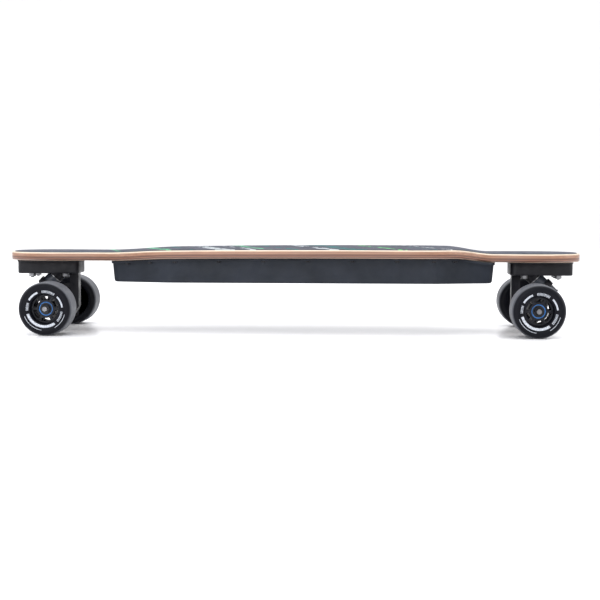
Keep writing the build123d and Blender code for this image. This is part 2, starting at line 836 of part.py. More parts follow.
with BuildPart() as motor_magnets:
    with BuildSketch(across_plane(stator_middle)):
        Circle(magnet_outer_radius)
        Circle(magnet_inner_radius, mode=Mode.SUBTRACT)
        with PolarLocations(magnet_outer_radius, magnet_count):
            Rectangle(3 * magnet_thickness, magnet_spacing, mode=Mode.SUBTRACT)
    extrude(amount=stator_length / 2, both=True)
save(motor_place * motor_magnets.part, "motor_magnets")

with BuildPart() as motor_shell:
    with BuildSketch(turning_plane):
        Polygon(
            (shell_start, motor_shell_radius),
            (shell_end, motor_shell_radius),
            (shell_end, shell_rim_radius),
            (stator_middle + stator_length / 2 + 1, shell_rim_radius),
            (stator_middle + stator_length / 2 + 1, magnet_outer_radius + press_gap),
            (stator_middle - stator_length / 2, magnet_outer_radius + press_gap),
            (stator_middle - stator_length / 2, shell_rim_radius),
            (shell_start, shell_rim_radius),
            align=None,
        )
    revolve(axis=axle_line)
    with BuildSketch(across_plane(shell_start)):
        with PolarLocations(cover_screw_circle, cover_screw_count):
            Circle(cover_screw_radius + press_gap)
    extrude(amount=cover_screw_length, mode=Mode.SUBTRACT)
    with BuildSketch(across_plane(shell_end)):
        with PolarLocations(cover_screw_circle, cover_screw_count):
            Circle(cover_screw_radius + press_gap)
    extrude(amount=-cover_screw_length, mode=Mode.SUBTRACT)
save(motor_place * motor_shell.part, "motor_shell")


def make_motor_cover(face_y, inward, bearing_y):
    """An end cover: a disc with a bearing boss, its outer face at face_y and its inside towards inward (+1 or -1)."""
    with BuildPart() as cover:
        with BuildSketch(across_plane(face_y)):
            Circle(motor_shell_radius)
        extrude(amount=inward * motor_cover_thickness)
        boss_end = max(abs(bearing_y - face_y), abs(bearing_y + motor_bearing_width - face_y))
        with BuildSketch(across_plane(face_y)):
            Circle(motor_cover_boss_radius)
        extrude(amount=inward * boss_end)
        with BuildSketch(across_plane(face_y - inward)):
            Circle(motor_bearing_radius + press_gap)
            with PolarLocations(cover_screw_circle, cover_screw_count):
                Circle(cover_screw_radius + hole_gap)
        extrude(amount=inward * (boss_end + 2), mode=Mode.SUBTRACT)
        with BuildSketch(across_plane(face_y)):
            with PolarLocations(cover_screw_circle, cover_screw_count):
                Circle(cover_screw_head_radius + hole_gap / 2)
        extrude(amount=inward * cover_screw_head_height, mode=Mode.SUBTRACT)
    return cover


save(motor_place * make_motor_cover(motor_inner_face, 1, motor_inner_bearing_y).part, "motor_inner_cover")
save(motor_place * make_motor_cover(motor_outer_face, -1, motor_outer_bearing_y).part, "motor_outer_cover")

with BuildPart() as motor_cover_screws:
    for face_y, inward in ((motor_inner_face, 1), (motor_outer_face, -1)):
        with BuildSketch(across_plane(face_y + inward * cover_screw_head_height)):
            with PolarLocations(cover_screw_circle, cover_screw_count):
                Circle(cover_screw_head_radius)
        extrude(amount=-inward * (cover_screw_head_height - 0.3))
        with BuildSketch(across_plane(face_y + inward * cover_screw_head_height)):
            with PolarLocations(cover_screw_circle, cover_screw_count):
                Circle(cover_screw_radius)
        extrude(amount=inward * (motor_cover_thickness - cover_screw_head_height + cover_screw_length - 0.5))
save(motor_place * motor_cover_screws.part, "motor_cover_screws")

with BuildPart() as motor_tyre:
    add(tyre_profile(motor_shell_radius + press_gap, rim_y - 2 * side_dish, motor_shell_radius + 0.6))
    revolve(axis=axle_line)
save(motor_place * motor_tyre.part, "motor_tyre")

motor_pitch_radius = (motor_shaft_radius + motor_bearing_radius) / 2
motor_ball_radius = 1.1
with BuildPart() as motor_bearing_sleeves:
    for y in (motor_inner_bearing_y, motor_outer_bearing_y):
        with BuildSketch(across_plane(y)):
            Circle(motor_pitch_radius - motor_ball_radius - bearing_gap)
            Circle(motor_shaft_radius + press_gap, mode=Mode.SUBTRACT)
        extrude(amount=motor_bearing_width)
save(motor_place * motor_bearing_sleeves.part, "motor_bearing_sleeves")
motor_bearings = make_bearings([motor_inner_bearing_y, motor_outer_bearing_y], motor_bearing_width,
                               motor_pitch_radius - motor_ball_radius - bearing_gap, motor_pitch_radius,
                               motor_bearing_radius, motor_ball_radius)
save(motor_place * motor_bearings.part, "motor_bearings")

# ---------------------------------------------------------------- enclosure

gasket_sheet = deck_band(-gasket_thickness, 0)
flange_sheet = deck_band(-gasket_thickness - flange_thickness, -gasket_thickness)
under_gasket = deck_band(-2 * enclosure_depth, -gasket_thickness)
flange_plan = enclosure_plan(0, 0, 16)
loft_top_z = deck_bottom_z + 2
wall_y = tub_half_width


def tub_solid(inset, bottom_z):
    """The tub's body drawn in by inset, from bottom_z up past the deck, its ends leaning in towards the bottom."""
    with BuildPart() as tub:
        with BuildSketch(Plane.XY.offset(loft_top_z)):
            add(enclosure_plan(inset, flange_width + inset, 12))
        with BuildSketch(Plane.XY.offset(bottom_z)):
            add(enclosure_plan(inset + tub_end_slope, flange_width + inset, 12))
        loft()
    return tub.part


tub_outside = tub_solid(0, tub_bottom_z)
tub_inside = tub_solid(enclosure_wall, tub_floor_z)
fittings = [
    (button_x, bezel_wall + button_radius + running_gap),
    (charge_x, charge_body_radius),
    (gland_x, gland_radius - 1.5),
]


def wall_plane(x, y):
    """Square to the left wall at x, its centre at the fittings' height."""
    return Plane(origin=(x, y, fitting_z), x_dir=(1, 0, 0), z_dir=(0, 1, 0))


with BuildPart() as flange:
    with BuildSketch():
        add(flange_plan)
    extrude(amount=2 * deck_end_z)
    add(flange_sheet, mode=Mode.INTERSECT)

with BuildPart() as enclosure_shell:
    add(tub_outside)
    fillet(enclosure_shell.faces().sort_by(Axis.Z)[0].edges(), 4)
    add(under_gasket, mode=Mode.INTERSECT)
    add(flange.part)
    add(tub_inside, mode=Mode.SUBTRACT)
    for x, y in screw_points:
        with BuildSketch(Plane.XY.offset(tub_bottom_z)):
            with Locations((x, y)):
                Circle(screw_radius + hole_gap)
        extrude(amount=2 * enclosure_depth, mode=Mode.SUBTRACT)
    for x, radius in fittings:
        with BuildSketch(wall_plane(x, wall_y - 2 * enclosure_wall)):
            Circle(radius + press_gap)
        extrude(amount=3 * enclosure_wall, mode=Mode.SUBTRACT)
save(enclosure_shell, "enclosure_shell")

with BuildPart() as enclosure_gasket:
    with BuildSketch():
        add(flange_plan)
    extrude(amount=2 * deck_end_z)
    add(gasket_sheet, mode=Mode.INTERSECT)
    add(tub_inside, mode=Mode.SUBTRACT)
    with BuildSketch():
        with Locations(screw_points):
            Circle(screw_radius + hole_gap)
    extrude(amount=2 * deck_end_z, mode=Mode.SUBTRACT)
save(enclosure_gasket, "enclosure_gasket")

with BuildPart() as enclosure_screws:
    for x, y in screw_points:
        seat_z = deck_bottom(x) - gasket_thickness - flange_thickness - head_gap
        with BuildSketch(Plane.XY.offset(seat_z)):
            with Locations((x, y)):
                Circle(screw_head_radius)
        extrude(amount=-screw_head_height)
        with BuildSketch(Plane.XY.offset(seat_z)):
            with Locations((x, y)):
                Circle(screw_radius)
        extrude(amount=screw_length)
save(enclosure_screws, "enclosure_screws")

# ---------------------------------------------------------------- battery and electronics

row_length = cell_length + cell_row_gap
battery_length = cells_along * row_length - cell_row_gap
battery_width = (cells_across - 1) * cell_pitch + 2 * cell_radius
row_centres = [battery_centre_x + (i - (cells_along - 1) / 2) * row_length for i in range(cells_along)]
cell_ys = [(i - (cells_across - 1) / 2) * cell_pitch for i in range(cells_across)]
foam_top_z = tub_floor_z + foam_thickness
cell_z = foam_top_z + holder_floor + cell_radius


def end_plane(x):
    """Square to the board's length at x, at the height of the cells' centres."""
    return Plane(origin=(x, 0, cell_z), x_dir=(0, 1, 0), z_dir=(1, 0, 0))


with BuildPart() as battery_cells:
    for x in row_centres:
        with BuildSketch(end_plane(x)):
            with Locations([(y, 0) for y in cell_ys]):
                Circle(cell_radius)
        extrude(amount=cell_length / 2, both=True)
save(battery_cells, "battery_cells")

holder_xs = [x + side * (cell_length / 2 - 3 * holder_thickness) for x in row_centres for side in (-1, 1)]
with BuildPart() as cell_holders:
    for x in holder_xs:
        with BuildSketch(end_plane(x)):
            with Locations((0, holder_height / 2 - holder_floor - cell_radius)):
                Rectangle(battery_width + 2 * holder_floor, holder_height)
            with Locations([(y, 0) for y in cell_ys]):
                Circle(cell_radius + press_gap, mode=Mode.SUBTRACT)
        extrude(amount=holder_thickness / 2, both=True)
save(cell_holders, "cell_holders")

with BuildPart() as nickel_strips:
    for x in row_centres:
        for side in (-1, 1):
            with BuildSketch(end_plane(x + side * cell_length / 2)):
                Rectangle(battery_width - cell_radius, strip_height)
            extrude(amount=side * strip_thickness)
save(nickel_strips, "nickel_strips")

with BuildPart() as foam_pads:
    with BuildSketch(Plane.XY.offset(tub_floor_z)):
        with Locations((battery_centre_x, 0)):
            Rectangle(battery_length, battery_width + 2 * holder_floor)
        with Locations((battery_board_x, 0)):
            Rectangle(battery_board_length, battery_board_width)
        with Locations((receiver_x, 0)):
            Rectangle(receiver_length, receiver_width)
    extrude(amount=foam_thickness)
save(foam_pads, "foam_pads")

with BuildPart() as battery_board:
    with BuildSketch(Plane.XY.offset(foam_top_z)):
        with Locations((battery_board_x, 0)):
            Rectangle(battery_board_length, battery_board_width)
    extrude(amount=board_thickness)
    with BuildSketch(Plane.XY.offset(foam_top_z + board_thickness)):
        with Locations((battery_board_x, 0)):
            with GridLocations(12, 14, 3, 4):
                Rectangle(8, 10)
    extrude(amount=transistor_height / 2)
save(battery_board, "battery_board")

with BuildPart() as receiver:
    with BuildSketch(Plane.XY.offset(foam_top_z)):
        with Locations((receiver_x, 0)):
            Rectangle(receiver_length, receiver_width)
    extrude(amount=board_thickness)
    with BuildSketch(Plane.XY.offset(foam_top_z + board_thickness)):
        with Locations((receiver_x, 0)):
            Rectangle(receiver_length / 2, receiver_width / 2)
    extrude(amount=board_thickness)
save(receiver, "receiver")

heatsink_top_z = tub_floor_z + heatsink_thickness
with BuildPart() as heatsink:
    with BuildSketch(Plane.XY.offset(tub_floor_z)):
        with Locations((controller_x, 0)):
            Rectangle(controller_length, controller_width)
    extrude(amount=heatsink_thickness)
save(heatsink, "heatsink")

with BuildPart() as transistors:
    with BuildSketch(Plane.XY.offset(heatsink_top_z)):
        with Locations((controller_x, 0)):
            with GridLocations(controller_length / 6, controller_width - 2 * transistor_width, 6, 2):
                Rectangle(transistor_length, transistor_width)
    extrude(amount=transistor_height)
save(transistors, "transistors")

controller_top_z = heatsink_top_z + transistor_height + board_thickness
with BuildPart() as controller_board:
    with BuildSketch(Plane.XY.offset(controller_top_z)):
        with Locations((controller_x, 0)):
            Rectangle(controller_length, controller_width)
    extrude(amount=-board_thickness)
    with BuildSketch(Plane.XY.offset(controller_top_z)):
        with Locations((controller_x - controller_length / 4, 0)):
            Rectangle(14, 14)
    extrude(amount=board_thickness)
save(controller_board, "controller_board")

with BuildPart() as capacitors:
    with BuildSketch(Plane(origin=(controller_x, 0, controller_top_z + capacitor_radius), x_dir=(0, 1, 0),
                           z_dir=(1, 0, 0))):
        with Locations([(i * (2 * capacitor_radius + 1), 0) for i in (-2, -1, 0, 1, 2)]):
            Circle(capacitor_radius)
    extrude(amount=capacitor_length)
save(capacitors, "capacitors")

# ---------------------------------------------------------------- power button, charging port and cable gland

bezel_bore = button_radius + running_gap
bezel_end_y = wall_y - bezel_reach
with BuildPart() as power_button_bezel:
    with BuildSketch(wall_plane(button_x, wall_y)):
        Circle(bezel_radius)
        Circle(bezel_bore, mode=Mode.SUBTRACT)
    extrude(amount=bezel_thickness)
    outer_face = power_button_bezel.faces().sort_by(Axis.Y)[-1]
    chamfer(outer_face.outer_wire().edges(), 0.6)
    with BuildSketch(wall_plane(button_x, wall_y)):
        Circle(bezel_bore + bezel_wall)
        Circle(bezel_bore, mode=Mode.SUBTRACT)
    extrude(amount=-bezel_reach)
save(power_button_bezel, "power_button_bezel")

with BuildPart() as power_button:
    with BuildSketch(wall_plane(button_x, bezel_end_y + button_travel + running_gap)):
        Circle(button_radius)
    extrude(amount=bezel_reach + bezel_thickness + button_stand - button_travel - running_gap)
    fillet(power_button.edges().sort_by(Axis.Y)[-1], 0.8)
save(power_button, "power_button")

with BuildPart() as button_switch:
    with BuildSketch(wall_plane(button_x, bezel_end_y)):
        Circle(bezel_bore + bezel_wall)
    extrude(amount=-switch_length)
save(button_switch, "button_switch")

hinge_z = cap_hinge_rise
flange_face_y = wall_y + charge_flange_thickness
hinge_y = flange_face_y + cap_barrel_radius + running_gap
cap_inner_y = flange_face_y + cap_gap
ear_x = cap_tab_width / 2 + running_gap + hinge_ear_width / 2


def hinge_plane(x):
    """Square to the cap's hinge pin at x, centred on the pin."""
    return Plane(origin=(charge_x + x, hinge_y, fitting_z + hinge_z), x_dir=(0, 1, 0), z_dir=(1, 0, 0))


with BuildPart() as charge_socket:
    with BuildSketch(wall_plane(charge_x, wall_y + charge_flange_thickness)):
        Circle(charge_flange_radius)
        with Locations((0, -hinge_z / 2)):
            Rectangle(2 * ear_x + hinge_ear_width, hinge_z + 2 * cap_barrel_radius)
    extrude(amount=-charge_flange_thickness)
    with BuildSketch(wall_plane(charge_x, wall_y)):
        Circle(charge_body_radius)
    extrude(amount=charge_flange_thickness - charge_body_length)
    with BuildSketch(wall_plane(charge_x, flange_face_y)):
        Circle(charge_bore_radius)
    extrude(amount=-charge_bore_depth, mode=Mode.SUBTRACT)
    with BuildSketch(wall_plane(charge_x, flange_face_y - charge_bore_depth)):
        Circle(charge_pin_radius)
    extrude(amount=charge_pin_length)
    for side in (-1, 1):
        with BuildSketch(hinge_plane(side * ear_x)):
            Circle(cap_barrel_radius)
            with Locations(((flange_face_y - hinge_y) / 2, 0)):
                Rectangle(hinge_y - flange_face_y, 2 * cap_barrel_radius)
        extrude(amount=hinge_ear_width / 2, both=True)
    with BuildSketch(hinge_plane(0)):
        Circle(cap_pin_radius)
    extrude(amount=ear_x, both=True)
save(charge_socket, "charge_socket")

with BuildPart() as charge_cap:
    with BuildSketch(wall_plane(charge_x, cap_inner_y)):
        Circle(cap_radius)
    extrude(amount=cap_thickness)
    fillet(charge_cap.edges().sort_by(Axis.Y)[-1], 1)
    with BuildSketch(hinge_plane(0)):
        Circle(cap_barrel_radius)
        with Locations(((cap_inner_y + cap_thickness / 2 - hinge_y), -cap_hinge_rise / 4)):
            Rectangle(cap_thickness - 0.6, cap_hinge_rise / 2)
    extrude(amount=cap_tab_width / 2, both=True)
    with BuildSketch(hinge_plane(0)):
        Circle(cap_pin_radius + bearing_gap)
    extrude(amount=cap_tab_width, both=True, mode=Mode.SUBTRACT)
save(charge_cap, "charge_cap")

with BuildPart() as motor_cable_gland:
    with BuildSketch(wall_plane(gland_x, wall_y)):
        Circle(gland_radius)
    extrude(amount=gland_length * 0.4)
    with BuildSketch(wall_plane(gland_x, wall_y + gland_length * 0.4)):
        Circle(gland_radius - 1)
    extrude(amount=gland_length * 0.6, taper=12)
    with BuildSketch(wall_plane(gland_x, wall_y)):
        Circle(gland_radius - 1.5)
    extrude(amount=-2 * enclosure_wall)
    with BuildSketch(wall_plane(gland_x, wall_y - 2 * enclosure_wall)):
        Circle(gland_bore_radius)
    extrude(amount=gland_length + 2 * enclosure_wall, mode=Mode.SUBTRACT)
save(motor_cable_gland, "motor_cable_gland")
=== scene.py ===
# %% [markdown]
# # An electric longboard, finished around its CAD frame
#
# The working parts come ready made, in metres, in one frame: +X is the way the board rides, +Y the rider's left and
# +Z up, and the ground is Z = 0. This notebook gives them their looks. Parts whose shape is already right keep their
# mesh and only get a material. Parts that need rounder edges or printed detail are made again here as surfaces
# worked out with numpy.

# %% Load the frame
import json
import math

import bmesh
import bpy
import numpy as np
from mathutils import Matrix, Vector

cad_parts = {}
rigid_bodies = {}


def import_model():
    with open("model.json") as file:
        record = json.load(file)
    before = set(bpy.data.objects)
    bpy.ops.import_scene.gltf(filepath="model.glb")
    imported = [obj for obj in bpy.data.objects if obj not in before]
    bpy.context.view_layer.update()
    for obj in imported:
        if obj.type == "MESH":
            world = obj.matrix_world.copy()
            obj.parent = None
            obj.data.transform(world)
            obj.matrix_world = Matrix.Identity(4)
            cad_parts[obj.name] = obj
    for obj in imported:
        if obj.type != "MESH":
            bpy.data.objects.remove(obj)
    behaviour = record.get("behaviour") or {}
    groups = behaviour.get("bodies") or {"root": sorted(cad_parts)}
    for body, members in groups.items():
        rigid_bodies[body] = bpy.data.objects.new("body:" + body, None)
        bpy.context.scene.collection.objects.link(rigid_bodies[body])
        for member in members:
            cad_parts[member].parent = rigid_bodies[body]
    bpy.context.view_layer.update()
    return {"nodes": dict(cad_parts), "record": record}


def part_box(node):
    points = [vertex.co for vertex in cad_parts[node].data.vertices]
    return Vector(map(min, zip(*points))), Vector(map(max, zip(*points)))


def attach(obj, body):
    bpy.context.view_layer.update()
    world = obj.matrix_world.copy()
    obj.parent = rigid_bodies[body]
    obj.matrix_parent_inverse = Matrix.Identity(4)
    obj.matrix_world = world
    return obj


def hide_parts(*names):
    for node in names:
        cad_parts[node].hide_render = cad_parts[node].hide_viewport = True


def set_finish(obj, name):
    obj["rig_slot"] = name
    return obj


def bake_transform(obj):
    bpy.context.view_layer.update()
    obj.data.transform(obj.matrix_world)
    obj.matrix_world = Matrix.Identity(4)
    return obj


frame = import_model()
nodes = frame["nodes"]

# %% [markdown]
# ## Meshes from numpy grids
#
# A surface is a grid of points: one index runs along a path and the other round a section. Faces join each point to
# its neighbours, so a whole skin is made from one array with no loop over vertices.

# %% A grid of points becomes a mesh


def grid_faces(rows, columns, wrap_rows, wrap_columns):
    """Corner numbers of every quad: point (i, j), then its neighbours at i + 1 and j + 1, wrapping where asked."""
    i = np.arange(rows if wrap_rows else rows - 1)[:, None]
    j = np.arange(columns if wrap_columns else columns - 1)[None, :]
    here = i * columns + j
    down = (i + 1) % rows * columns + j
    right = i * columns + (j + 1) % columns
    across = (i + 1) % rows * columns + (j + 1) % columns
    return np.stack([here, down, across, right], axis=-1).reshape(-1, 4)


def build(name, points, faces, body, slot, replaces=(), values=None, smooth=True):
    """Makes a mesh of points and faces, merges its seams, turns its faces outwards and puts it on a body, if any."""
    mesh = bpy.data.meshes.new(name)
    mesh.from_pydata(np.asarray(points, dtype=float).reshape(-1, 3).tolist(), [],
                     faces if isinstance(faces, list) else faces.tolist())
    for title, numbers in (values or {}).items():
        layer = mesh.attributes.new(title, "FLOAT", "POINT")
        layer.data.foreach_set("value", np.asarray(numbers, dtype=np.float32).ravel())
    shape = bmesh.new()
    shape.from_mesh(mesh)
    bmesh.ops.remove_doubles(shape, verts=shape.verts, dist=1e-6)
    bmesh.ops.dissolve_degenerate(shape, edges=shape.edges, dist=1e-7)
    bmesh.ops.recalc_face_normals(shape, faces=shape.faces)
    shape.to_mesh(mesh)
    shape.free()
    if smooth:
        mesh.shade_smooth()
    piece = bpy.data.objects.new(name, mesh)
    bpy.context.scene.collection.objects.link(piece)
    if body:
        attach(piece, body)
    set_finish(piece, slot)
    if replaces:
        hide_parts(*replaces)
    return piece


# %% [markdown]
# ## A small kit for materials
#
# Every finish here is procedural: noise in Object coordinates drives colour, roughness and a little bump. A helper
# adds a node and joins or sets its inputs by name, so that each material reads as a short recipe.

# %% Helpers for node recipes


def add_node(tree, kind, inputs=None, **settings):
    """Adds a node, applies its settings, and sets or links each input: a socket is linked and a value is set."""
    node = tree.nodes.new(kind)
    for key, value in settings.items():
        setattr(node, key, value)
    for key, value in (inputs or {}).items():
        if isinstance(value, bpy.types.NodeSocket):
            tree.links.new(value, node.inputs[key])
        else:
            node.inputs[key].default_value = value
    return node


def new_material(name):
    """An empty node material: its tree, the shader and the object coordinates' socket."""
    material = bpy.data.materials.new(name)
    material.use_nodes = True
    tree = material.node_tree
    shader = tree.nodes["Principled BSDF"]
    place = add_node(tree, "ShaderNodeTexCoord").outputs["Object"]
    return material, tree, shader, place


def noise(tree, place, scale, detail=3.0, stretch=(1, 1, 1)):
    """Noise, 0 to 1, whose grain is 1/scale metres across, drawn out along an axis where stretch is under 1."""
    mapped = add_node(tree, "ShaderNodeMapping", {"Vector": place, "Scale": stretch}).outputs["Vector"]
    return add_node(tree, "ShaderNodeTexNoise", {"Vector": mapped, "Scale": scale, "Detail": detail}).outputs["Fac"]


def ramp(tree, factor, stops, interpolation="LINEAR"):
    """A colour ramp from a list of (position, (r, g, b))."""
    node = add_node(tree, "ShaderNodeValToRGB", {"Fac": factor})
    node.color_ramp.interpolation = interpolation
    elements = node.color_ramp.elements
    while len(elements) < len(stops):
        elements.new(0.5)
    for element, (position, colour) in zip(elements, stops):
        element.position = position
        element.color = (*colour, 1)
    return node.outputs["Color"]


def spread(tree, factor, low, high, start=0.35, end=0.65):
    """Carries a factor from the range start to end over to the range low to high."""
    return add_node(tree, "ShaderNodeMapRange", {
        "Value": factor, "From Min": start, "From Max": end, "To Min": low, "To Max": high}).outputs["Result"]


def bump(tree, shader, height, distance, strength=0.6):
    """Feeds a height, 0 to 1, to the shader as bumps of this depth in metres."""
    bumped = add_node(tree, "ShaderNodeBump", {"Height": height, "Distance": distance, "Strength": strength})
    tree.links.new(bumped.outputs["Normal"], shader.inputs["Normal"])


# %% [markdown]
# ## Plain finishes
#
# Most metal, plastic and urethane parts share one recipe. A broad noise shifts the colour between two close tones, a
# middle one varies the gloss as handling does, and a fine one gives the casting skin, moulding grain or brushing.

# %% One recipe, many finishes


def finish(name, dark, light, roughness, grain, depth, metallic=0.0, stretch=(1, 1, 1), coat=0.0, specular=0.5):
    """A finish with handling wear: dark and light tones, a (low, high) roughness, and grain of 1/grain metres and this
    depth.
    """
    material, tree, shader, place = new_material(name)
    broad = noise(tree, place, 22, 4, stretch)
    middle = noise(tree, place, 90, 3, stretch)
    fine = noise(tree, place, grain, 2, stretch)
    tree.links.new(ramp(tree, broad, [(0.36, dark), (0.64, light)]), shader.inputs["Base Color"])
    tree.links.new(spread(tree, middle, *roughness), shader.inputs["Roughness"])
    bump(tree, shader, fine, depth)
    shader.inputs["Metallic"].default_value = metallic
    shader.inputs["Coat Weight"].default_value = coat
    shader.inputs["Specular IOR Level"].default_value = specular
    return material


finishes = {
    "black_cast": finish("powder_coated_casting", (.004, .004, .006), (.010, .010, .013), (.36, .54), 900, .00012,
                         specular=.2),
    "steel": finish("dull_zinc_steel", (.16, .16, .17), (.26, .26, .27), (.3, .5), 1500, .00002, metallic=1),
    "black_steel": finish("blackened_steel", (.012, .012, .014), (.03, .03, .033), (.34, .52), 1200, .00003,
                          metallic=.8),
    "bushing_urethane": finish("charcoal_urethane", (.012, .014, .02), (.025, .03, .042), (.3, .45), 700, .00003),
    "cup_urethane": finish("black_urethane", (.012, .012, .014), (.03, .03, .033), (.4, .6), 700, .00004),
    "core_plastic": finish("glass_filled_nylon", (.003, .004, .007), (.008, .009, .015), (.34, .5), 1300, .00004,
                           specular=.2),
    "enclosure_plastic": finish("moulded_enclosure", (.006, .009, .015), (.012, .016, .025), (.44, .58), 1600, .00006,
                                specular=.25),
    "gasket_rubber": finish("closed_cell_rubber", (.008, .008, .009), (.02, .02, .022), (.7, .85), 1100, .0001),
    "foam": finish("open_cell_foam", (.06, .06, .065), (.12, .12, .13), (.85, .95), 500, .0004),
    "cell_wrap": finish("shrink_wrap_sleeve", (.02, .22, .30), (.03, .30, .38), (.2, .32), 600, .00002, coat=.3),
    "holder_plastic": finish("moulded_holder", (.015, .015, .016), (.035, .035, .037), (.45, .6), 1100, .00006),
    "nickel": finish("nickel_strip", (.5, .48, .43), (.7, .67, .6), (.25, .4), 1500, .00002, metallic=1),
    "board_green": finish("solder_masked_board", (.008, .11, .04), (.016, .18, .07), (.25, .4), 900, .00003),
    "component_black": finish("moulded_epoxy", (.012, .012, .013), (.03, .03, .032), (.4, .6), 1300, .00005),
    "capacitor_sleeve": finish("capacitor_sleeve", (.02, .025, .12), (.03, .04, .2), (.25, .4), 700, .00002),
    "aluminium": finish("anodised_aluminium", (.5, .51, .52), (.68, .69, .7), (.24, .4), 1500, .00002, metallic=1),
    "button_plastic": finish("satin_button", (.42, .44, .46), (.55, .57, .6), (.25, .36), 1300, .00003),
    "copper": finish("enamelled_copper", (.42, .14, .05), (.62, .24, .09), (.22, .36), 900, .0002, metallic=1),
    "stator_steel": finish("laminated_steel", (.2, .2, .21), (.32, .32, .33), (.35, .5), 2200, .00008,
                           metallic=1, stretch=(.05, 1, .05)),
    "magnet": finish("nickel_plated_magnet", (.5, .5, .52), (.66, .66, .68), (.15, .28), 900, .00001, metallic=1),
}
print(len(finishes), "plain finishes")

# %% [markdown]
# ## The deck
#
# The deck is pressed from nine plies, and its edge shows them as stripes. Its outline is wide under the feet and
# narrow over the wheels, and its tips sit lower than the platform. A rounded section is carried along the length:
# each station takes its width from the outline and its height from the bottom line. Every point keeps its share of
# the thickness, so that the stripes follow the bends.

# %% The deck's driving sizes
DECK_LENGTH = 0.915
PLY_COUNT = 9
EDGE_ROUND = 0.0045
PLATFORM_RISE = 0.0072
REAR_SHOULDER_RISE = 0.0048
REAR_SHOULDER_SLOPE = 0.016
GRIP_THICKNESS = 0.001
GRIP_INSET = 0.004

half_length = DECK_LENGTH / 2
deck_box = np.array(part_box("deck"))
end_bottom_z = deck_box[0][2]
deck_thickness = deck_box[1][2] - end_bottom_z - PLATFORM_RISE

# (x, rise, slope) where the bottom line changes, and (x, half width) round the outline from nose to tail
bottom_knots = np.array([
    (-half_length, 0, 0), (-0.302, 0, 0), (-0.195, REAR_SHOULDER_RISE, REAR_SHOULDER_SLOPE),
    (0.110, PLATFORM_RISE, 0), (0.250, PLATFORM_RISE, 0), (0.318, 0, 0), (half_length, 0, 0)])
tip_points = np.array([(0, .014), (.005, .030), (.015, .043), (.032, .053)])
middle_points = np.array([
    (.375, .060), (.330, .056), (.298, .059), (.272, .080), (.238, .102), (.150, .108), (.020, .106), (-.100, .098),
    (-.190, .090), (-.245, .080), (-.295, .060), (-.335, .056), (-.375, .060)])
outline_points = np.concatenate([
    tip_points * (-1, 1) + (half_length, 0), middle_points, tip_points[::-1] - (half_length, 0)])


def bottom_rise(x):
    """Height of the deck's bottom over its tips: a cubic between each pair of knots that keeps their slopes."""
    k = np.clip(np.searchsorted(bottom_knots[:, 0], x, side="right") - 1, 0, len(bottom_knots) - 2)
    x0, z0, m0 = bottom_knots[k].T
    x1, z1, m1 = bottom_knots[k + 1].T
    w = x1 - x0
    t = (x - x0) / w
    start = (1 + 2 * t) * (1 - t) ** 2 * z0 + t * (1 - t) ** 2 * w * m0
    return start + t * t * (3 - 2 * t) * z1 + t * t * (t - 1) * w * m1


def smooth_curve(points, samples):
    """A cubic spline through the points: second derivatives solve the usual banded system, with free ends."""
    length = np.concatenate([[0], np.cumsum(np.linalg.norm(np.diff(points, axis=0), axis=1))])
    h = np.diff(length)
    n = len(points)
    system = np.eye(n)
    system[np.arange(1, n - 1), np.arange(0, n - 2)] = h[:-1]
    system[np.arange(1, n - 1), np.arange(1, n - 1)] = 2 * (h[:-1] + h[1:])
    system[np.arange(1, n - 1), np.arange(2, n)] = h[1:]
    slopes = np.diff(points, axis=0) / h[:, None]
    target = np.zeros_like(points)
    target[1:-1] = 6 * np.diff(slopes, axis=0)
    bend = np.linalg.solve(system, target)
    s = np.linspace(0, length[-1], samples)
    k = np.clip(np.searchsorted(length, s, side="right") - 1, 0, n - 2)
    a = ((length[k + 1] - s) / h[k])[:, None]
    b = 1 - a
    bulge = ((a**3 - a) * bend[k] + (b**3 - b) * bend[k + 1]) * (h[k] ** 2)[:, None] / 6
    return a * points[k] + b * points[k + 1] + bulge


outline = smooth_curve(outline_points, 420)
print("outline", outline.shape, "widest", round(2 * outline[:, 1].max(), 4), "m")

# %% [markdown]
# A board's section is a slab with rounded edges. It is written once, as a function of the half width, and serves
# both the deck and the thin grip sheet on top of it.

# %% A rounded slab carried along the outline


def slab(outline_xy, thickness, rounding, lift, tips=7, across=24, corner=7):
    """Points and ply share of a slab: at each station the section runs under the board, up a rounded edge, back over
    the top and down the other edge. At the tips the section shrinks round a quarter circle, which closes the ends."""
    turn = np.linspace(0, np.pi / 2, tips)[:-1]
    x, w = outline_xy.T
    shrink = rounding * (1 - np.sin(turn))
    front = np.stack([x[0] - 0 * turn, w[0] - shrink, shrink], axis=1)
    body = np.stack([x, w, np.zeros_like(x)], axis=1)
    tail = np.stack([np.full(len(turn), x[-1]), w[-1] - shrink[::-1], shrink[::-1]], axis=1)
    stations = np.concatenate([front, body, tail])
    stations[:, 0] *= 1 - 1e-5
    quarter = np.linspace(0, np.pi / 2, corner)
    flat = np.linspace(-1, 1, across)
    x, w, pinch = stations.T
    r = np.minimum(rounding, thickness / 2 - 1e-5)
    low = lift + bottom_rise(x) + end_bottom_z
    inner = (w - r)[:, None]
    side_y = np.concatenate([r * np.sin(quarter), r * np.cos(quarter)])[None, :]
    side_z = np.concatenate([r * (1 - np.cos(quarter)), thickness - r + r * np.sin(quarter)])[None, :]
    y = np.concatenate([inner * flat, inner + side_y, -inner * flat, -inner - side_y[:, ::-1]], axis=1)
    z = np.concatenate([np.zeros_like(inner * flat), side_z + 0 * inner, thickness + 0 * inner * flat,
                        side_z[:, ::-1] + 0 * inner], axis=1)
    z = pinch[:, None] + z * (1 - 2 * pinch[:, None] / thickness)
    points = np.stack([np.broadcast_to(x[:, None], y.shape), y, low[:, None] + z], axis=-1)
    return points, z / thickness


